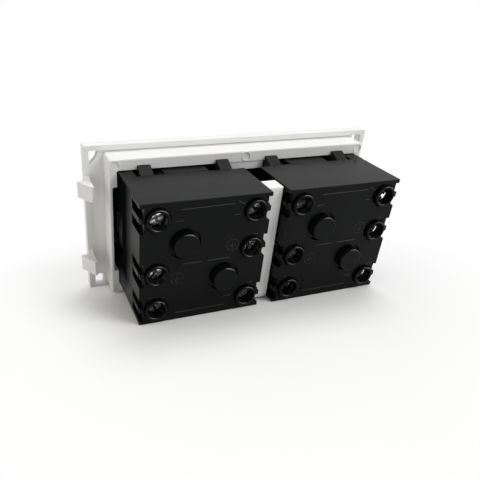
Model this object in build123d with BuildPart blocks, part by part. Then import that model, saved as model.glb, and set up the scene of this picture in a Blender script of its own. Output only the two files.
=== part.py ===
"""Double earthed socket outlet for a mounting box or trunking.

A white snap-in frame carries two black sockets side by side. Each socket is a plug well with
snap fingers, a terminal box behind it, contacts, an earth strap and six terminal screws.
Millimetres; +Z up, the plugs go in along +Y from the front, the terminals face +Y.
Y = 0 is the flange's rear rim, which bears on the ledge of the box.
"""
import os

from build123d import *

# Frame
PITCH = 46.6
FLANGE_WIDTH, FLANGE_HEIGHT, FLANGE_THICK = 105.9, 53.1, 4.0
FLANGE_CORNER, FLANGE_EDGE = 0.8, 0.3
RIM_WIDTH, RIM_HEIGHT = 1.65, 0.5
COLLAR_WIDTH, COLLAR_HEIGHT, COLLAR_BACK = 93.2, 48.7, 7.6
COLLAR_CORNER, COLLAR_EDGE = 0.8, 0.5
OPENING_WIDTH, OPENING_HEIGHT, OPENING_CORNER = 88.2, 41.5, 0.6
NOTCH_WIDTH, NOTCH_HEIGHT, NOTCH_CORNER = 91.2, 30.8, 0.8
POCKET_WIDTH, POCKET_HEIGHT, POCKET_FLOOR, POCKET_CORNER = 93.2, 46.6, -1.8, 1.0
TONGUE_WIDTH, TONGUE_DROP, TONGUE_FRONT, TONGUE_BACK, TONGUE_ROOT = 13.4, 2.8, 4.6, 7.3, 0.4
HOOK_CENTRE, HOOK_WIDTH = 13.45, 5.2
HOOK_INSIDE, HOOK_OUTSIDE, HOOK_FRONT = 51.4, 52.95, -0.2
HOOK_BARB = [(52.1, COLLAR_BACK), (55.6, 2.2), (55.6, 1.7), (HOOK_OUTSIDE, 1.5)]
HOOK_RAMP = [(-0.1, 0.8), (2.0, 0.0), (-0.1, 0.0)]
SLOT_SIZE, SLOT_PLACE, SLOT_CORNER = (3.1, 4.4), (49.35, 22.85), 0.7
WINDOW = [(-51.15, 24.9), (-48.3, 24.9), (-48.3, 24.1), (-49.15, 22.1), (-51.15, 20.2)]
RELIEF_SIZE, RELIEF_SPAN, RELIEF_DEPTH, RELIEF_CORNER = (5.0, 6.4), (98.7, 45.1), 1.0, 0.8
EJECTOR_RADIUS, EJECTOR_DEPTH = 1.45, 0.2
EJECTOR_PLACES = [(x, z) for x in (-44.7, 0.0, 44.7) for z in (-22.5, 22.5)]

# Well body and front plate
PLATE_SIZE, PLATE_FRONT, PLATE_THICK = 46.2, -4.8, 1.9
PLATE_CORNER, PLATE_EDGE, PLATE_RIM = 1.2, 0.8, 0.7
SHOULDER_SIZE, SHOULDER_FRONT, SHOULDER_THICK, SHOULDER_CORNER = 45.6, -2.85, 1.0, 1.0
WELL_RADIUS, WELL_FLOOR = 19.6, 12.0
POT_RADIUS, POT_WIDTH, POT_HEIGHT, POT_STEP = 21.77, 43.4, 40.5, 3.0
BARREL_RADIUS, BARREL_BACK = 20.6, 12.3
SPIGOT_SIZE, SPIGOT_BACK, SPIGOT_CORNER = 38.0, 13.8, 1.0
RIB_PLACE, RIB_DEPTH, RIB_WIDTH, RIB_FRONT = 18.85, 1.9, 4.6, -1.0
SPRING_PLACE, SPRING_DEPTH, SPRING_WIDTH, SPRING_FRONT, SPRING_WALL = 18.5, 4.2, 6.4, 1.0, 1.0
PIN = 6.72
PIN_HOLE, PIN_HOLE_EDGE = 2.7, 0.6
FIXING_SEAT, FIXING_SEAT_DEPTH, FIXING_HOLE = 3.3, 0.8, 1.4
FINGER_OUTER, FINGER_INNER, FINGER_WIDTH = 12.35, 14.2, 4.2
FINGER_STEM = [(-2, 20.3), (-2, 18.9), (12.35, 18.9), (12.35, 20.35)]
FINGER_BARB = [(8.6, 22.2), (7.85, 22.2), (7.85, 20.3)]
PAD_WIDTH, PAD_PLACE, PAD_BACK = 14.8, (FINGER_INNER - FINGER_OUTER) / 2, 11.7
LATCH_SIZE, LATCH_PLACE, LATCH_BACK = (1.9, 7.0), (20.05, 3.7), 8.2

# Terminal box
BOX_SIZE, BOX_FRONT, BOX_BACK, BOX_CORNER, BOX_EDGE = 41.0, 12.7, 32.9, 0.25, 0.15
WALL, BACK_PLATE = 1.3, 2.2
LEG_INSIDE, LEG_FRONT, SKIRT_INSIDE = 15.9, 3.4, 8.0
SCREW_COLUMN = 15.2
LEFT_ROWS = (15.25, -2.7, -15.25)
TERMINALS = [(-SCREW_COLUMN, row) for row in LEFT_ROWS] + [(SCREW_COLUMN, -row) for row in LEFT_ROWS]
BOSSES = [(-PIN, PIN), (PIN, -PIN)]
ENTRY_OFFSET, ENTRY_HEIGHT, ENTRY_FRONT = 2.4, 3.1, 24.9
POST_NOTCH, POST_DEPTH = 0.2, 1.2
RING_RADIUS, RING_HEIGHT, RING_EDGE, RING_MOAT, RING_MOAT_DEPTH = 3.5, 1.2, 0.2, 4.0, 0.8
RING_HOLE, RING_LIP = 2.75, 0.2
BOSS_RADIUS, BOSS_HEIGHT, BOSS_EDGE, BOSS_MOAT, BOSS_MOAT_DEPTH = 4.0, 2.2, 0.3, 5.1, 1.0
BOSS_BORE, BOSS_ROOF = 2.8, 1.1
PILLAR_RADIUS, PILLAR_FRONT, PILLAR_BORE, PILLAR_DEPTH = 3.2, 14.0, 1.25, 10.5
PARTITIONS = [(6.3, -1), (-9.0, -1), (-6.3, 1), (9.0, 1)]
PARTITION_FRONT, PARTITION_PLACE, PARTITION_LENGTH, PARTITION_THICK = 20.0, 15.6, 7.6, 1.0

# Contacts and fasteners
BAR_FRONT, BAR_THICK, BAR_LENGTH, BAR_HEIGHT, BAR_CORNER = 21.0, 1.5, 36.8, 6.0, 0.8
NECK_WIDTH, NECK_HEIGHT, NECK_PLACE = 4.4, 4.0, 10.8
TULIP_RADIUS, TULIP_BORE, TULIP_FRONT, TULIP_BACK = 3.3, 2.35, 16.2, 29.5
SLIT_WIDTH, SLIT_DEPTH = 0.8, 4.2
STRAP_FRONT, STRAP_THICK, STRAP_ARM, STRAP_REACH = 18.4, 1.0, 4.8, 18.7
STRAP_HUB, STRAP_EYE = 5.3, 3.6
SPRING_OUTSIDE = [(18.7, 19.4), (18.7, 9.0), (17.3, 6.0), (18.7, 3.0)]
SPRING_INSIDE = [(17.9, 2.6), (16.4, 6.0), (17.9, 9.2), (17.9, 19.4)]
SCREW_CLEARANCE = 1.7
SCREW_RADIUS, SCREW_FRONT = 1.5, 17.8
HEAD_RADIUS, HEAD_FRONT, HEAD_HEIGHT, HEAD_EDGE = 2.6, 28.5, 2.3, 0.3
DRIVE_WIDTH, DRIVE_CROSS, DRIVE_DEPTH = 0.95, 4.0, 1.2
SCREW_TURNS = (20, 65, 110, 40, 85, 150)
CLAMP_SIZE, CLAMP_FRONT, CLAMP_THICK = 5.8, 27.2, 1.0
BOX_SCREW_HEAD, BOX_SCREW_HEIGHT, BOX_SCREW_FRONT = 2.8, 0.6, 12.1
BOX_SCREW_SHANK, BOX_SCREW_LENGTH = 1.1, 10.5
BOX_SCREW_CROSS, BOX_SCREW_SLOT, BOX_SCREW_DRIVE = 3.4, 0.7, 0.4

# Separator between the boxes
DIVIDER_WIDTH, DIVIDER_TALL, DIVIDER_FRONT, DIVIDER_DEPTH, DIVIDER_EDGE = 5.0, 40.3, 23.8, 5.7, 0.4


def rear(y, x=0.0, turn=False):
    """Plane facing the rear: local x runs right and local y up as seen from behind."""
    across = 1 if turn else -1
    return Plane(origin=(x, y, 0), x_dir=(across, 0, 0), z_dir=(0, 1, 0))


def save(builder, name):
    builder.part.label = name
    export_step(builder.part, f"parts/{name}.step")


os.makedirs("parts", exist_ok=True)

with BuildPart() as mounting_frame:
    with BuildSketch(rear(-FLANGE_THICK)):
        RectangleRounded(FLANGE_WIDTH, FLANGE_HEIGHT, FLANGE_CORNER)
    extrude(amount=FLANGE_THICK)
    chamfer(mounting_frame.faces().sort_by(Axis.Y)[0].edges(), length=FLANGE_EDGE)
    with BuildSketch(rear(0)):
        Rectangle(FLANGE_WIDTH - 2 * RIM_WIDTH, FLANGE_HEIGHT - 2 * RIM_WIDTH)
    extrude(amount=-RIM_HEIGHT, mode=Mode.SUBTRACT)
    with BuildSketch(rear(-RIM_HEIGHT)):
        RectangleRounded(COLLAR_WIDTH, COLLAR_HEIGHT, COLLAR_CORNER)
    extrude(amount=RIM_HEIGHT + COLLAR_BACK)
    fillet(mounting_frame.faces().sort_by(Axis.Y)[-1].edges(), radius=COLLAR_EDGE)
    # Through opening with a notch at either side, and the pocket for the front plates
    with BuildSketch(rear(-FLANGE_THICK)):
        RectangleRounded(OPENING_WIDTH, OPENING_HEIGHT, OPENING_CORNER)
        RectangleRounded(NOTCH_WIDTH, NOTCH_HEIGHT, NOTCH_CORNER)
    extrude(amount=FLANGE_THICK + COLLAR_BACK, mode=Mode.SUBTRACT)
    with BuildSketch(rear(-FLANGE_THICK)):
        RectangleRounded(POCKET_WIDTH, POCKET_HEIGHT, POCKET_CORNER)
    extrude(amount=FLANGE_THICK + POCKET_FLOOR, mode=Mode.SUBTRACT)
    # Tongues between the inner snap fingers
    tongue = TONGUE_DROP + TONGUE_ROOT
    with BuildSketch(rear(TONGUE_FRONT)):
        with GridLocations(0, OPENING_HEIGHT + TONGUE_ROOT - TONGUE_DROP, 1, 2):
            Rectangle(TONGUE_WIDTH, tongue)
    extrude(amount=TONGUE_BACK - TONGUE_FRONT)
    # Snap hooks that hold the frame in its box
    stem = [(HOOK_OUTSIDE, HOOK_FRONT), (HOOK_INSIDE, HOOK_FRONT), (HOOK_INSIDE, COLLAR_BACK)]
    for centre in (-HOOK_CENTRE, HOOK_CENTRE):
        with BuildSketch(Plane.XY.offset(centre - HOOK_WIDTH / 2)):
            with BuildLine():
                Polyline(*stem, *HOOK_BARB, close=True)
            make_face()
            mirror(about=Plane.YZ)
        extrude(amount=HOOK_WIDTH)
        for end in (-1, 1):
            ramp = [(y, centre + end * (HOOK_WIDTH / 2 + rise)) for y, rise in HOOK_RAMP]
            for x in (HOOK_INSIDE, -HOOK_OUTSIDE):
                with BuildSketch(Plane.YZ.offset(x)):
                    with BuildLine():
                        Polyline(*ramp, close=True)
                    make_face()
                extrude(amount=HOOK_OUTSIDE - HOOK_INSIDE)
    # Cover slots at two corners, windows at the other two, each relieved at the front
    for turn in (False, True):
        with BuildSketch(rear(-FLANGE_THICK, turn=turn)):
            with Locations((-SLOT_PLACE[0], -SLOT_PLACE[1])):
                RectangleRounded(*SLOT_SIZE, SLOT_CORNER)
            with BuildLine():
                Polyline(*WINDOW, close=True)
            make_face()
        extrude(amount=FLANGE_THICK, mode=Mode.SUBTRACT)
    with BuildSketch(rear(-FLANGE_THICK)):
        with GridLocations(*RELIEF_SPAN, 2, 2):
            RectangleRounded(*RELIEF_SIZE, RELIEF_CORNER)
    extrude(amount=RELIEF_DEPTH, mode=Mode.SUBTRACT)
    # Ejector-pin rounds left by the mould
    with BuildSketch(rear(COLLAR_BACK)):
        with Locations(*EJECTOR_PLACES):
            Circle(EJECTOR_RADIUS)
    extrude(amount=-EJECTOR_DEPTH, mode=Mode.SUBTRACT)
save(mounting_frame, "mounting_frame")

with BuildPart() as separator_bar:
    with BuildSketch(rear(DIVIDER_FRONT)):
        Rectangle(DIVIDER_WIDTH, DIVIDER_TALL)
    extrude(amount=DIVIDER_DEPTH)
    fillet(separator_bar.faces().sort_by(Axis.Y)[-1].edges(), radius=DIVIDER_EDGE)
save(separator_bar, "separator_bar")

# "outer" is the side of each socket away from the other one, as local x of a rear plane
for name, x, outer in (("left", -PITCH / 2, 1), ("right", PITCH / 2, -1)):
    with BuildPart() as front_plate:
        with BuildSketch(rear(PLATE_FRONT, x)):
            RectangleRounded(PLATE_SIZE, PLATE_SIZE, PLATE_CORNER)
        extrude(amount=PLATE_THICK)
        fillet(front_plate.faces().sort_by(Axis.Y)[0].edges(), radius=PLATE_EDGE)
        with BuildSketch(rear(PLATE_FRONT, x)):
            Circle(WELL_RADIUS)
        extrude(amount=PLATE_THICK, mode=Mode.SUBTRACT)
        round_edges = front_plate.edges().filter_by(GeomType.CIRCLE)
        rims = round_edges.filter_by(lambda e: e.radius > PLATE_CORNER)
        chamfer(rims.sort_by(Axis.Y)[0], length=PLATE_RIM)
    save(front_plate, f"front_plate_{name}")

    with BuildPart() as well_body:
        with BuildSketch(rear(SHOULDER_FRONT, x)):
            RectangleRounded(SHOULDER_SIZE, SHOULDER_SIZE, SHOULDER_CORNER)
        extrude(amount=SHOULDER_THICK)
        with BuildSketch(rear(SHOULDER_FRONT, x)):
            Circle(POT_RADIUS)
            Rectangle(POT_WIDTH, POT_HEIGHT, mode=Mode.INTERSECT)
        extrude(amount=POT_STEP - SHOULDER_FRONT)
        # Thinner barrel with housings for the earth springs, pads between the fingers and a side latch
        with BuildSketch(rear(POT_STEP, x)):
            Circle(BARREL_RADIUS)
            Rectangle(POT_WIDTH, POT_HEIGHT, mode=Mode.INTERSECT)
            with PolarLocations(SPRING_PLACE, 2, start_angle=45):
                Rectangle(SPRING_DEPTH + 2 * SPRING_WALL, SPRING_WIDTH + 2 * SPRING_WALL)
        extrude(amount=BARREL_BACK - POT_STEP)
        with BuildSketch(rear(POT_STEP, x)):
            with Locations((-outer * PAD_PLACE, 0)):
                Rectangle(PAD_WIDTH, POT_HEIGHT)
        extrude(amount=PAD_BACK - POT_STEP)
        with BuildSketch(rear(POT_STEP, x)):
            with Locations((outer * LATCH_PLACE[0], -outer * LATCH_PLACE[1])):
                Rectangle(*LATCH_SIZE)
        extrude(amount=LATCH_BACK - POT_STEP)
        with BuildSketch(rear(BARREL_BACK, x)):
            RectangleRounded(SPIGOT_SIZE, SPIGOT_SIZE, SPIGOT_CORNER)
        extrude(amount=SPIGOT_BACK - BARREL_BACK)
        with BuildSketch(rear(SHOULDER_FRONT, x)):
            Circle(WELL_RADIUS)
        extrude(amount=WELL_FLOOR - SHOULDER_FRONT, mode=Mode.SUBTRACT)
        # Guide ribs in line with the pins, and pockets for the earth springs
        with BuildSketch(rear(RIB_FRONT, x)):
            with PolarLocations(RIB_PLACE, 2, start_angle=135):
                Rectangle(RIB_DEPTH, RIB_WIDTH)
        extrude(amount=WELL_FLOOR - RIB_FRONT)
        with BuildSketch(rear(SPRING_FRONT, x)):
            with PolarLocations(SPRING_PLACE, 2, start_angle=45):
                Rectangle(SPRING_DEPTH, SPRING_WIDTH)
        extrude(amount=SPIGOT_BACK, mode=Mode.SUBTRACT)
        # Pin holes and the fixing screw's seat
        with BuildSketch(rear(WELL_FLOOR, x)):
            with Locations(*BOSSES):
                Circle(PIN_HOLE)
            Circle(FIXING_HOLE)
        extrude(amount=SPIGOT_BACK - WELL_FLOOR, mode=Mode.SUBTRACT)
        round_edges = well_body.edges().filter_by(GeomType.CIRCLE)
        holes = round_edges.filter_by(lambda e: abs(e.radius - PIN_HOLE) < 0.01)
        chamfer(holes.group_by(Axis.Y)[0], length=PIN_HOLE_EDGE)
        with BuildSketch(rear(WELL_FLOOR, x)):
            Circle(FIXING_SEAT)
        extrude(amount=FIXING_SEAT_DEPTH, mode=Mode.SUBTRACT)
        # Snap fingers that hook over the frame's collar
        for place in (-outer * FINGER_OUTER, outer * FINGER_INNER):
            with BuildSketch(Plane.YZ.offset(x + place - FINGER_WIDTH / 2)):
                with BuildLine():
                    Polyline(*FINGER_STEM, *FINGER_BARB, close=True)
                make_face()
                mirror(about=Plane.XZ)
            extrude(amount=FINGER_WIDTH)
    save(well_body, f"well_body_{name}")

    with BuildPart() as terminal_box:
        with BuildSketch(rear(BOX_FRONT, x)):
            RectangleRounded(BOX_SIZE, BOX_SIZE, BOX_CORNER)
        extrude(amount=BOX_BACK - BOX_FRONT)
        chamfer(terminal_box.faces().sort_by(Axis.Y)[-1].edges(), length=BOX_EDGE)
        with BuildSketch(rear(BOX_FRONT, x)):
            Rectangle(BOX_SIZE - 2 * WALL, BOX_SIZE - 2 * WALL)
        extrude(amount=BOX_BACK - BACK_PLATE - BOX_FRONT, mode=Mode.SUBTRACT)
        # Corner legs and side skirts that reach into the frame on the outer side
        leg = BOX_SIZE / 2 - LEG_INSIDE
        leg_middle = LEG_INSIDE + leg / 2
        hollow_middle = leg_middle - WALL / 2
        skirt = BOX_SIZE / 2 - SKIRT_INSIDE
        skirt_place = outer * (BOX_SIZE - WALL) / 2
        for side in (-1, 1):
            with BuildSketch(rear(LEG_FRONT, x)):
                with Locations((outer * leg_middle, side * leg_middle)):
                    Rectangle(leg, leg)
                with Locations((outer * hollow_middle, side * hollow_middle)):
                    Rectangle(leg - WALL, leg - WALL, mode=Mode.SUBTRACT)
                with Locations((skirt_place, side * (SKIRT_INSIDE + skirt / 2))):
                    Rectangle(WALL, skirt)
            extrude(amount=BOX_FRONT - LEG_FRONT)
        # Partitions between the terminals and the pillar for the fixing screw
        with BuildSketch(rear(PARTITION_FRONT, x)):
            with Locations(*[(side * PARTITION_PLACE, row) for row, side in PARTITIONS]):
                Rectangle(PARTITION_LENGTH, PARTITION_THICK)
        extrude(amount=BOX_BACK - BACK_PLATE - PARTITION_FRONT)
        with BuildSketch(rear(PILLAR_FRONT, x)):
            Circle(PILLAR_RADIUS)
        extrude(amount=BOX_BACK - BACK_PLATE - PILLAR_FRONT)
        with BuildSketch(rear(PILLAR_FRONT, x)):
            Circle(PILLAR_BORE)
        extrude(amount=PILLAR_DEPTH, mode=Mode.SUBTRACT)
        # Paired wire entries beside every screw, open at the back edge, with a set-back post between
        for column, row in TERMINALS:
            face = BOX_SIZE / 2 if column > 0 else -BOX_SIZE / 2
            with BuildSketch(rear(ENTRY_FRONT, x)):
                with Locations((face, row - ENTRY_OFFSET), (face, row + ENTRY_OFFSET)):
                    Rectangle(2 * WALL, ENTRY_HEIGHT)
            extrude(amount=BOX_BACK - ENTRY_FRONT, mode=Mode.SUBTRACT)
            with BuildSketch(rear(BOX_BACK - POST_DEPTH, x)):
                with Locations((face, row)):
                    Rectangle(2 * POST_NOTCH, 2 * ENTRY_OFFSET - ENTRY_HEIGHT)
            extrude(amount=POST_DEPTH, mode=Mode.SUBTRACT)
        # Screw collars and hollow pin bosses, each standing in a round moat in the back plate
        rounds = [
            (TERMINALS, RING_RADIUS, RING_HEIGHT, RING_EDGE, RING_MOAT, RING_MOAT_DEPTH),
            (BOSSES, BOSS_RADIUS, BOSS_HEIGHT, BOSS_EDGE, BOSS_MOAT, BOSS_MOAT_DEPTH),
        ]
        for places, radius, height, top_edge, moat, moat_depth in rounds:
            with BuildSketch(rear(BOX_BACK, x)):
                with Locations(*places):
                    Circle(moat)
            extrude(amount=-moat_depth, mode=Mode.SUBTRACT)
            with BuildSketch(rear(BOX_BACK - moat_depth, x)):
                with Locations(*places):
                    Circle(radius)
            extrude(amount=moat_depth + height)
            tops = terminal_box.edges().filter_by(GeomType.CIRCLE).group_by(Axis.Y)[-1]
            chamfer(tops, length=top_edge)
        with BuildSketch(rear(BOX_BACK - BACK_PLATE, x)):
            with Locations(*TERMINALS):
                Circle(RING_HOLE)
        extrude(amount=BACK_PLATE + RING_HEIGHT, mode=Mode.SUBTRACT)
        round_edges = terminal_box.edges().filter_by(GeomType.CIRCLE)
        lips = round_edges.filter_by(lambda e: abs(e.radius - RING_HOLE) < 0.01)
        chamfer(lips.group_by(Axis.Y)[-1], length=RING_LIP)
        with BuildSketch(rear(BOX_BACK - BACK_PLATE, x)):
            with Locations(*BOSSES):
                Circle(BOSS_BORE)
        extrude(amount=BACK_PLATE + BOSS_HEIGHT - BOSS_ROOF, mode=Mode.SUBTRACT)
    save(terminal_box, f"terminal_box_{name}")

    for pole, turn in (("line", False), ("neutral", True)):
        with BuildPart() as contact:
            with BuildSketch(rear(BAR_FRONT, x, turn)):
                with Locations((0, LEFT_ROWS[0])):
                    RectangleRounded(BAR_LENGTH, BAR_HEIGHT, BAR_CORNER)
                with Locations((-PIN, NECK_PLACE)):
                    Rectangle(NECK_WIDTH, NECK_HEIGHT)
                with Locations((-SCREW_COLUMN, LEFT_ROWS[0]), (SCREW_COLUMN, LEFT_ROWS[0])):
                    Circle(SCREW_CLEARANCE, mode=Mode.SUBTRACT)
            extrude(amount=BAR_THICK)
            # Split sleeve that grips the pin
            with BuildSketch(rear(TULIP_FRONT, x, turn)):
                with Locations((-PIN, PIN)):
                    Circle(TULIP_RADIUS)
            extrude(amount=TULIP_BACK - TULIP_FRONT)
            with BuildSketch(rear(TULIP_FRONT, x, turn)):
                with Locations((-PIN, PIN)):
                    Circle(TULIP_BORE)
            extrude(amount=TULIP_BACK - TULIP_FRONT, mode=Mode.SUBTRACT)
            with BuildSketch(rear(TULIP_FRONT, x, turn)):
                with Locations((-PIN, PIN)):
                    Rectangle(SLIT_WIDTH, 2 * TULIP_RADIUS + 1)
                    Rectangle(2 * TULIP_RADIUS + 1, SLIT_WIDTH)
            extrude(amount=SLIT_DEPTH, mode=Mode.SUBTRACT)
        save(contact, f"{pole}_contact_{name}")

    with BuildPart() as earth_strap:
        with BuildSketch(rear(STRAP_FRONT, x)):
            Circle(STRAP_HUB)
            arm = SCREW_COLUMN + STRAP_ARM / 2
            with Locations((-arm / 2, LEFT_ROWS[1]), (arm / 2, -LEFT_ROWS[1])):
                Rectangle(arm, STRAP_ARM)
            with PolarLocations(STRAP_REACH / 2, 2, start_angle=45):
                Rectangle(STRAP_REACH, STRAP_ARM)
            Circle(STRAP_EYE, mode=Mode.SUBTRACT)
            with Locations((-SCREW_COLUMN, LEFT_ROWS[1]), (SCREW_COLUMN, -LEFT_ROWS[1])):
                Circle(SCREW_CLEARANCE, mode=Mode.SUBTRACT)
        extrude(amount=STRAP_THICK)
        # Springs that rise through the well's floor and bow towards the plug
        for side in (-1, 1):
            radial = Plane(origin=(x, 0, 0), x_dir=(-side, 0, side), z_dir=(side, 0, side))
            flip = 1 if radial.y_dir.Y > 0 else -1
            with BuildSketch(radial):
                with BuildLine():
                    Polyline(*[(r, flip * y) for r, y in SPRING_OUTSIDE + SPRING_INSIDE], close=True)
                make_face()
            extrude(amount=STRAP_ARM / 2, both=True)
    save(earth_strap, f"earth_strap_{name}")

    with BuildPart() as terminal_screws:
        with BuildSketch(rear(HEAD_FRONT, x)):
            with Locations(*TERMINALS):
                Circle(HEAD_RADIUS)
        extrude(amount=HEAD_HEIGHT)
        chamfer(terminal_screws.edges().group_by(Axis.Y)[-1], length=HEAD_EDGE)
        with BuildSketch(rear(SCREW_FRONT, x)):
            with Locations(*TERMINALS):
                Circle(SCREW_RADIUS)
        extrude(amount=HEAD_FRONT - SCREW_FRONT)
        # Combined slot and cross drive, each screw left at its own turn
        with BuildSketch(rear(HEAD_FRONT + HEAD_HEIGHT, x)):
            for (column, row), turned in zip(TERMINALS, SCREW_TURNS):
                with Locations(Location((column, row, 0), (0, 0, turned))):
                    Rectangle(2 * HEAD_RADIUS + 1, DRIVE_WIDTH)
                    Rectangle(DRIVE_WIDTH, DRIVE_CROSS)
        extrude(amount=-DRIVE_DEPTH, mode=Mode.SUBTRACT)
    save(terminal_screws, f"terminal_screws_{name}")

    with BuildPart() as clamp_plates:
        with BuildSketch(rear(CLAMP_FRONT, x)):
            with Locations(*TERMINALS):
                Rectangle(CLAMP_SIZE, CLAMP_SIZE)
                Circle(SCREW_CLEARANCE, mode=Mode.SUBTRACT)
        extrude(amount=CLAMP_THICK)
    save(clamp_plates, f"clamp_plates_{name}")

    with BuildPart() as box_screw:
        with BuildSketch(rear(BOX_SCREW_FRONT, x)):
            Circle(BOX_SCREW_HEAD)
        extrude(amount=BOX_SCREW_HEIGHT)
        with BuildSketch(rear(BOX_SCREW_FRONT + BOX_SCREW_HEIGHT, x)):
            Circle(BOX_SCREW_SHANK)
        extrude(amount=BOX_SCREW_LENGTH)
        with BuildSketch(rear(BOX_SCREW_FRONT, x)):
            Rectangle(BOX_SCREW_CROSS, BOX_SCREW_SLOT)
            Rectangle(BOX_SCREW_SLOT, BOX_SCREW_CROSS)
        extrude(amount=BOX_SCREW_DRIVE, mode=Mode.SUBTRACT)
    save(box_screw, f"box_screw_{name}")
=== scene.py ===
"""Looks for a double earthed socket outlet that stands on a table with its terminals to the camera.

The frame's CAD nodes keep their shapes and get moulded-plastic and metal finishes. The rounded lips of the
screw collars and bosses, the raised wiring lines, the earth signs and the rims round the ejector-pin marks
are pieces of this file.
"""

import math

import bmesh
import bpy
from mathutils import Matrix, Vector


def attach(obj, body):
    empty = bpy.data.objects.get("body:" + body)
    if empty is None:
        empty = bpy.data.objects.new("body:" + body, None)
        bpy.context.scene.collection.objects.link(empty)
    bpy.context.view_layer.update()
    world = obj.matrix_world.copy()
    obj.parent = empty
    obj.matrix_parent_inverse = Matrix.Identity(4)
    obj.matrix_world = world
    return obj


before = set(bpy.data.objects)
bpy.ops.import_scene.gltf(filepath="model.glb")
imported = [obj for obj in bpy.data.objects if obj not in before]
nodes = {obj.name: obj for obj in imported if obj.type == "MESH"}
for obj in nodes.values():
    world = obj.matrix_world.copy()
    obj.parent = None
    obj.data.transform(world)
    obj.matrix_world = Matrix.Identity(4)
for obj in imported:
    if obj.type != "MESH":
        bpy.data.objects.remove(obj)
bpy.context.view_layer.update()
MM = 0.001
# In mm: the sockets' middles along X, the backs of boxes and collar along Y, and, as Y and Z, the edges that
# stand on the table
SOCKETS = {"left": -23.3, "right": 23.3}
BOX_BACK, COLLAR_BACK = 32.9, 7.6
FLANGE_FOOT, BOX_FOOT = (-4.0, -26.55), (BOX_BACK, -20.5)
# In mm, right and up as seen from behind, from a socket's middle or, for the ejectors, the frame's middle
BOSSES = [(-6.72, 6.72), (6.72, -6.72)]
SCREWS = [(-15.2, 15.25), (-15.2, -2.7), (-15.2, -15.25), (15.2, -15.25), (15.2, 2.7), (15.2, 15.25)]
EJECTORS = [(across, up) for across in (-44.7, 0.0, 44.7) for up in (-22.5, 22.5)]


class Value:
    """A shader socket that takes part in Python expressions."""

    def __init__(self, tree, socket):
        self.tree = tree
        self.socket = socket

    def maths(self, operation, *values):
        return self.tree.node("ShaderNodeMath", {"operation": operation}, dict(enumerate(values)))

    def __add__(self, other):
        return self.maths("ADD", self, other)

    def __rsub__(self, other):
        return self.maths("SUBTRACT", other, self)

    def __mul__(self, other):
        return self.maths("MULTIPLY", self, other)

    __radd__ = __add__
    __rmul__ = __mul__

    def between(self, start, end):
        """0 at start and before it, 1 at end and past it."""
        return self.tree.node("ShaderNodeMapRange", {"clamp": True},
                              {"Value": self, "From Min": start, "From Max": end})


class Nodes:
    """A node tree; node() adds a node from its type, its settings and its sockets' values or links."""

    def __init__(self, owner, output):
        owner.use_nodes = True
        self.tree = owner.node_tree
        self.tree.nodes.clear()
        self.output = self.tree.nodes.new(output)

    def node(self, kind, settings=None, inputs=None, out=0):
        made = self.tree.nodes.new(kind)
        for key, value in (settings or {}).items():
            setattr(made, key, value)
        for key, value in (inputs or {}).items():
            if isinstance(value, Value):
                self.tree.links.new(value.socket, made.inputs[key])
            else:
                made.inputs[key].default_value = value
        return Value(self, made.outputs[out])

    def rays(self):
        """1 where the camera looks, and 1 where reflections and clear parts look."""
        camera, gloss, clear = (self.node("ShaderNodeLightPath", out=f"Is {ray} Ray")
                                for ray in ("Camera", "Glossy", "Transmission"))
        return camera, gloss + clear

    def mixed(self, factor, first, second):
        return self.node("ShaderNodeMixShader", {}, {0: factor, 1: first, 2: second})

    def surface(self, shader):
        self.tree.links.new(shader.socket, self.output.inputs["Surface"])


class Finish(Nodes):
    """One material."""

    def __init__(self, name):
        self.material = bpy.data.materials.new(name)
        super().__init__(self.material, "ShaderNodeOutputMaterial")

    def place(self):
        return self.node("ShaderNodeTexCoord", out="Object")

    def noise(self, scale, detail=2.0, rough=0.5, at=None):
        return self.node("ShaderNodeTexNoise", {}, {"Vector": at or self.place(), "Scale": scale,
                                                    "Detail": detail, "Roughness": rough}, out="Fac")

    def blend(self, factor, first, second):
        return self.node("ShaderNodeMix", {"data_type": "RGBA"}, {0: factor, 6: first, 7: second}, out=2)

    def bump(self, height, strength, distance):
        return self.node("ShaderNodeBump", {}, {"Height": height, "Strength": strength, "Distance": distance})

    def coat(self, **inputs):
        sockets = {key.replace("_", " "): value for key, value in inputs.items()}
        return self.node("ShaderNodeBsdfPrincipled", {}, sockets)

    def shade(self, **inputs):
        self.surface(self.coat(**inputs))
        return self.material


def grey(level):
    return (level, level, level, 1.0)


def white_moulding():
    """Satin white plastic with faint clouds and a fine grain."""
    f = Finish("white_moulding")
    clouds = f.noise(60.0, 3.0)
    grain = f.noise(2600.0, 2.0)
    colour = f.blend(clouds, (0.80, 0.80, 0.79, 1), (0.86, 0.86, 0.85, 1))
    return f.shade(Base_Color=colour, Roughness=0.44 + 0.1 * grain, Normal=f.bump(grain, 0.08, 0.0001),
                   Specular_IOR_Level=0.20)


def black_moulding(name, dark, light, rough, gloss):
    """Black plastic with faint clouds and a fine grain."""
    f = Finish(name)
    grain = f.noise(3400.0, 3.0, 0.6)
    clouds = f.noise(90.0, 4.0, 0.6)
    return f.shade(Base_Color=f.blend(clouds, grey(dark), grey(light)),
                   Roughness=rough + 0.10 * grain + 0.06 * clouds,
                   Normal=f.bump(grain, 0.10, 0.0001), Specular_IOR_Level=gloss)


# In metres: how far back, and how far below the middle, the painted dark reflection on the boxes' sides ends
# and they turn glossy
SIDE_DARK_REFLECTION_ENDS, FOOT_DARK_REFLECTION_ENDS = (0.0165, 0.0255), (0.0120, 0.0180)


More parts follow.
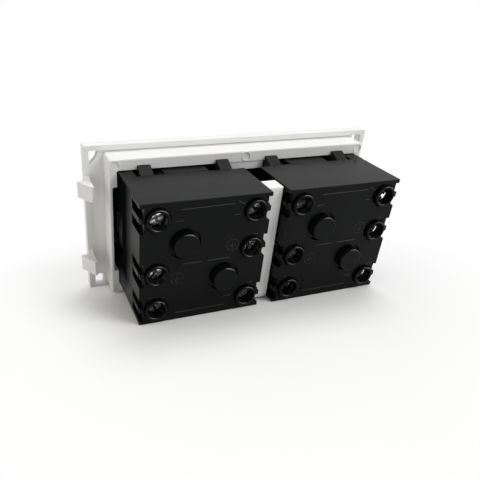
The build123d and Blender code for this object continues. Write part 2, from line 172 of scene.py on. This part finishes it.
def box_moulding():
    """Black plastic whose sides beside the collar lose their gloss, a painted dark reflection, as fitted to
    the tones of the photograph.
    """
    f = Finish("box_black")
    grain = f.noise(3400.0, 3.0, 0.6)
    clouds = f.noise(90.0, 4.0, 0.6)
    colour = f.blend(clouds, (0.0025, 0.0034, 0.0030, 1), (0.0042, 0.0053, 0.0048, 1))
    rough = 0.22 + 0.10 * grain + 0.06 * clouds
    bump = f.bump(grain, 0.10, 0.0001)
    rearward, height = (f.node("ShaderNodeSeparateXYZ", {}, {0: f.place()}, out=axis) for axis in "YZ")
    upward = f.node("ShaderNodeSeparateXYZ", {}, {0: f.node("ShaderNodeNewGeometry", out="Normal")}, out="Z")
    # Low beside the collar, where the sides keep no reflection: painted dark reflection
    glossy = rearward.between(*SIDE_DARK_REFLECTION_ENDS) + (0.0 - height).between(*FOOT_DARK_REFLECTION_ENDS) + upward
    dark_reflection_coat, bright = (f.coat(Base_Color=colour, Roughness=rough, Normal=bump, Specular_IOR_Level=gloss)
                    for gloss in (0.0, 0.09))
    f.surface(f.mixed(glossy, dark_reflection_coat, bright))
    return f.material


# Where the painted highlight's edges face: up and to the rear, and a little to the right as seen from behind
HIGHLIGHT_FACING = (-0.27, 0.60, 0.75)


def lip_moulding():
    """Black plastic with a painted highlight where its edges face up, as fitted to the lit rims of the
    photograph.
    """
    f = Finish("lip_black")
    clouds = f.noise(700.0, 3.0, 0.6)
    facing = f.node("ShaderNodeVectorMath", {"operation": "DOT_PRODUCT"},
                    {0: f.node("ShaderNodeNewGeometry", out="Normal"), 1: HIGHLIGHT_FACING}, out="Value")
    # Paler base colour on edges that face up, broken by clouds: a painted highlight
    pale = facing.between(0.86, 0.99) * clouds.between(0.25, 0.60)
    return f.shade(Base_Color=f.blend(pale, (0.0033, 0.0043, 0.0039, 1), grey(0.24)),
                   Roughness=0.16 + 0.10 * clouds, Specular_IOR_Level=0.09)


# In mm along Y: where a screw's painted shade is darkest, deep in its drive, and the depth from which its
# plating is bright
TERMINAL_DRIVE, BOX_SCREW_DRIVE = (29.6, 30.3), (12.45, 12.15)


def zinc(name, drive):
    """Bright zinc plating with fine marks, and painted shade deep in the screw's drive and along its shank.
    """
    f = Finish(name)
    marks = f.noise(2400.0, 3.0, 0.6)
    stains = f.noise(420.0, 2.0)
    plating = f.blend(stains, (0.82, 0.82, 0.81, 1), (0.93, 0.93, 0.92, 1))
    rearward = f.node("ShaderNodeSeparateXYZ", {}, {0: f.place()}, out="Y")
    outside_painted_shade = rearward.between(*(depth * MM for depth in drive))
    # Base colour goes dark grey deep in the drive and along the shank: painted shade
    return f.shade(Base_Color=f.blend(outside_painted_shade, grey(0.34), plating), Metallic=1.0,
                   Roughness=0.22 + 0.06 * marks, Normal=f.bump(marks, 0.015, 0.00005))


def rolled(name, dark, light):
    """Sheet metal with rolling streaks."""
    f = Finish(name)
    along = f.node("ShaderNodeMapping", {}, {"Vector": f.place(), "Scale": (1.0, 1.0, 14.0)})
    streaks = f.noise(220.0, 4.0, 0.6, at=along)
    return f.shade(Base_Color=f.blend(streaks, dark, light), Metallic=1.0, Roughness=0.24 + 0.16 * streaks,
                   Normal=f.bump(streaks, 0.1, 0.00005))


# In metres on the table: the middle of the part that keeps its shadow, and where it starts and ends to fade
SHADOW_MIDDLE, SHADOW_FADES = (0.0, 0.022, 0.0), (0.05, 0.11)


def table_top():
    """Pale table that keeps the outlet's soft shadow, fades into the white room and bounces less light."""
    f = Finish("table_top")
    camera, mirrored = f.rays()
    clouds = f.noise(3.0, 2.0)
    board = f.node("ShaderNodeBsdfDiffuse", {}, {"Color": f.blend(clouds, grey(0.58), grey(0.62))})
    paint = f.node("ShaderNodeBsdfDiffuse", {}, {"Color": f.blend(clouds, grey(0.89), grey(0.91))})
    glow = f.node("ShaderNodeEmission", {}, {"Color": grey(1.0), "Strength": 1.0})
    near = f.mixed(camera + mirrored, board, paint)
    away = f.node("ShaderNodeVectorMath", {"operation": "DISTANCE"},
                  {0: f.place(), 1: SHADOW_MIDDLE}, out="Value")
    fade = (camera + mirrored) * away.between(*SHADOW_FADES)
    f.surface(f.mixed(fade, near, glow))
    return f.material


WHITE = white_moulding()
WELL_BLACK = black_moulding("well_black", dark=0.0090, light=0.0140, rough=0.40, gloss=0.09)
# The raised signs are paler than the boxes they are moulded on: a painted highlight for the light their beads
# catch
SIGN_HIGHLIGHTED = black_moulding("sign_face", dark=0.0160, light=0.0260, rough=0.26, gloss=0.40)
LIP_BLACK = lip_moulding()
BRASS = rolled("rolled_brass", (0.22, 0.15, 0.05, 1), (0.36, 0.25, 0.10, 1))
FINISHES = {
    "mounting_frame": WHITE, "separator_bar": WHITE, "front_plate": WHITE,
    "well_body": WELL_BLACK, "terminal_box": box_moulding(), "line_contact": BRASS, "neutral_contact": BRASS,
    "earth_strap": rolled("nickelled_strap", (0.50, 0.47, 0.40, 1), (0.74, 0.70, 0.62, 1)),
    "clamp_plates": rolled("phosphated_steel", grey(0.035), grey(0.06)),
    "terminal_screws": zinc("terminal_zinc", TERMINAL_DRIVE),
    "box_screw": zinc("box_screw_zinc", BOX_SCREW_DRIVE),
}
for name, node in nodes.items():
    finish = FINISHES[name.removesuffix("_left").removesuffix("_right")]
    node.data.materials.clear()
    node.data.materials.append(finish)


def on_plate(x, across, up, lift=0.0):
    """A point on a terminal box's back, from places right and up as seen from behind."""
    return Vector((x - across, BOX_BACK + lift, up)) * MM


def moulded(name, mesh, finish):
    """Makes a finished mesh a piece that rides with the outlet."""
    bmesh.ops.recalc_face_normals(mesh, faces=mesh.faces)
    data = bpy.data.meshes.new(name)
    mesh.to_mesh(data)
    mesh.free()
    data.materials.append(finish)
    piece = bpy.data.objects.new(name, data)
    bpy.context.scene.collection.objects.link(piece)
    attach(piece, "root")


# A strip's section: its half widths at the foot and the top, as shares of its width, and its sunk foot in mm
STRIP_FOOT, STRIP_TOP, STRIP_SUNK = 0.5, 0.3, -0.05


def raised_strip(mesh, x, points, width, height, closed=False, foot=0.0):
    """A moulded bead with sloping sides along points on the back plate, or foot mm behind it."""
    count = len(points)
    section = ((-STRIP_FOOT, STRIP_SUNK), (-STRIP_TOP, height), (STRIP_TOP, height), (STRIP_FOOT, STRIP_SUNK))
    rows = []
    for i, point in enumerate(points):
        before = points[(i - 1) % count] if closed or i else point
        after = points[(i + 1) % count] if closed or i < count - 1 else point
        along = Vector((after[0] - before[0], after[1] - before[1])).normalized()
        side = Vector((-along.y, along.x))
        row = []
        for shift, lift in section:
            place = Vector(point) + side * shift * width
            row.append(mesh.verts.new(on_plate(x, place.x, place.y, foot + lift)))
        rows.append(row)
    for i in range(count if closed else count - 1):
        first, second = rows[i], rows[(i + 1) % count]
        for j in range(4):
            mesh.faces.new((first[j], second[j], second[(j + 1) % 4], first[(j + 1) % 4]))
    if not closed:
        mesh.faces.new(rows[0])
        mesh.faces.new(rows[-1][::-1])


def around(centre, radius, count):
    """Points round a circle on the back plate."""
    turn = 2 * math.pi / count
    return [(centre[0] + radius * math.cos(i * turn), centre[1] + radius * math.sin(i * turn))
            for i in range(count)]


def rounded_lip(mesh, x, centre, middle, half_width, foot, rise, first, last, steps=10, count=64):
    """A rounded edge turned about a point on the back plate, its section an arc of an ellipse."""
    arc = [math.radians(first + (last - first) * i / steps) for i in range(steps + 1)]
    bands = []
    for a in arc:
        circle = around(centre, middle + half_width * math.cos(a), count)
        bands.append([mesh.verts.new(on_plate(x, *place, foot + rise * math.sin(a))) for place in circle])
    for j, band in enumerate(bands):
        after = bands[(j + 1) % len(bands)]
        for i in range(count):
            k = (i + 1) % count
            mesh.faces.new((band[i], band[k], after[k], after[i])).smooth = True


# Sections of the lips, in mm and degrees
COLLAR_LIP = {"middle": 3.125, "half_width": 0.40, "foot": 0.95, "rise": 0.30, "first": -25.0, "last": 205.0}
BOSS_LIP = {"middle": 3.62, "half_width": 0.40, "foot": 1.83, "rise": 0.40, "first": -40.0, "last": 130.0}


def lips(side, x):
    """Rounded lips of the screw collars and of the bosses behind the pins."""
    mesh = bmesh.new()
    for place in SCREWS:
        rounded_lip(mesh, x, place, **COLLAR_LIP)
    for place in BOSSES:
        rounded_lip(mesh, x, place, **BOSS_LIP)
    moulded(f"collar_lips_{side}", mesh, LIP_BLACK)


LINES = [
    [(-8.55, 17.9), (8.1, 18.05)], [(9.15, 18.9), (11.4, 17.55)], [(-7.3, -0.1), (-1.25, -0.1)],
    [(1.05, -0.05), (8.2, 0.0)], [(-9.05, -17.8), (7.8, -17.7)],
]
DASHES = [
    [(15.4, 7.25), (17.2, 7.2)], [(15.4, -10.5), (17.6, -10.6)], [(-17.65, -10.7), (-16.5, -10.7)],
    [(7.7, -14.3), (10.1, -14.35)], [(-10.1, 14.3), (-7.4, 14.45)], [(8.4, 14.5), (10.2, 14.4)],
]
EARTHS = [(-8.7, -4.9), (8.75, 4.3)]
# An earth sign's ring, the ends of its stem, and each bar's drop and half length, in mm
EARTH_RING, EARTH_STEM = 1.95, (1.2, -0.1)
EARTH_BARS = [(0.15, 1.05), (0.65, 0.65), (1.15, 0.3)]
# Width and height of the strips in mm
LINE_STRIP, DASH_STRIP, EARTH_STRIP, RIM_STRIP = (0.32, 0.12), (0.24, 0.10), (0.16, 0.08), (0.32, 0.16)
EJECTOR_RADIUS = 1.5


def wiring_signs(side, x):
    """Plain lines and strip marks between the terminals, and the earth signs beside the middle screws."""
    mesh = bmesh.new()
    for points in LINES:
        raised_strip(mesh, x, points, *LINE_STRIP)
    for points in DASHES:
        raised_strip(mesh, x, points, *DASH_STRIP)
    for across, up in EARTHS:
        raised_strip(mesh, x, around((across, up), EARTH_RING, 36), *EARTH_STRIP, closed=True)
        raised_strip(mesh, x, [(across, up + end) for end in EARTH_STEM], *EARTH_STRIP)
        for drop, half in EARTH_BARS:
            raised_strip(mesh, x, [(across - half, up - drop), (across + half, up - drop)], *EARTH_STRIP)
    moulded(f"wiring_signs_{side}", mesh, SIGN_HIGHLIGHTED)


def ejector_rims():
    """Fine rims round the ejector-pin marks on the collar's back."""
    mesh = bmesh.new()
    for place in EJECTORS:
        ring = around(place, EJECTOR_RADIUS, 40)
        raised_strip(mesh, 0.0, ring, *RIM_STRIP, closed=True, foot=COLLAR_BACK - BOX_BACK)
    moulded("ejector_rims", mesh, WHITE)


for side, x in SOCKETS.items():
    lips(side, x)
    wiring_signs(side, x)
ejector_rims()


def table():
    """Table under the flange's lower edge and the boxes' lower back edges."""
    front, back = (Vector((0.0, *foot)) * MM for foot in (FLANGE_FOOT, BOX_FOOT))
    tilt = math.atan2(back.z - front.z, back.y - front.y)
    bpy.ops.mesh.primitive_grid_add(x_subdivisions=8, y_subdivisions=8, size=12.0)
    top = bpy.context.object
    top.name = "table"
    top.matrix_world = Matrix.Translation((front + back) / 2) @ Matrix.Rotation(tilt, 4, "X")
    top.data.materials.append(table_top())


def sun(name, towards, strength, spread, colour=(1.0, 1.0, 1.0)):
    """A broad soft lamp far away, in a direction seen from the outlet."""
    data = bpy.data.lights.new(name, "SUN")
    data.energy = strength
    data.angle = math.radians(spread)
    data.color = colour
    made = bpy.data.objects.new(name, data)
    made.rotation_euler = Vector(towards).to_track_quat("Z", "Y").to_euler()
    bpy.context.scene.collection.objects.link(made)


def room(fill, dim, wall):
    """White walls to the camera, a plain fill on the outlet, and in reflections a dim room with a white
    ceiling and a pale wall on the plug side."""
    world = bpy.data.worlds.new("room")
    bpy.context.scene.world = world
    r = Nodes(world, "ShaderNodeOutputWorld")
    camera, mirrored = r.rays()
    direction = r.node("ShaderNodeTexCoord", out="Generated")
    rearward, upward = (r.node("ShaderNodeSeparateXYZ", {}, {0: direction}, out=axis) for axis in "YZ")
    plug_side = wall * (0.0 - rearward).between(-0.35, 0.35)
    ceiling = upward.between(0.40, 0.85)
    white = camera + mirrored * (plug_side + ceiling)
    lit, shade, full = (r.node("ShaderNodeBackground", {}, {"Color": grey(1.0), "Strength": strength})
                        for strength in (fill, dim, 1.0))
    r.surface(r.mixed(white, r.mixed(mirrored, lit, shade), full))


def viewpoint():
    """The photograph's camera."""
    data = bpy.data.cameras.new("camera")
    data.sensor_width = 36.0
    data.lens = 37.706
    data.shift_x, data.shift_y = 0.1065, 0.0619
    data.clip_start, data.clip_end = 0.01, 50.0
    eye = bpy.data.objects.new("camera", data)
    place = Vector((77.13, 152.97, 77.51)) * MM
    right = Vector((-0.93717, 0.34452, 0.05493))
    up = Vector((-0.13758, -0.50965, 0.84931))
    ahead = Vector((-0.3206, -0.78839, -0.52503))
    turn = Matrix((right, up, -ahead)).transposed().to_4x4()
    eye.matrix_world = Matrix.Translation(place) @ turn
    bpy.context.scene.collection.objects.link(eye)
    bpy.context.scene.camera = eye


table()
room(fill=0.44, dim=0.08, wall=0.85)
sun("key", towards=(-0.52, 0.46, 0.72), strength=1.35, spread=28.0)
sun("overhead", towards=(-0.22, -0.36, 0.90), strength=0.95, spread=30.0)
sun("side_window", towards=(-0.99, -0.02, 0.07), strength=0.6, spread=40.0)
sun("reflector", towards=(0.90, -0.05, 0.38), strength=0.75, spread=60.0, colour=(1.0, 0.95, 0.82))
viewpoint()
bpy.context.scene.view_settings.view_transform = "Standard"
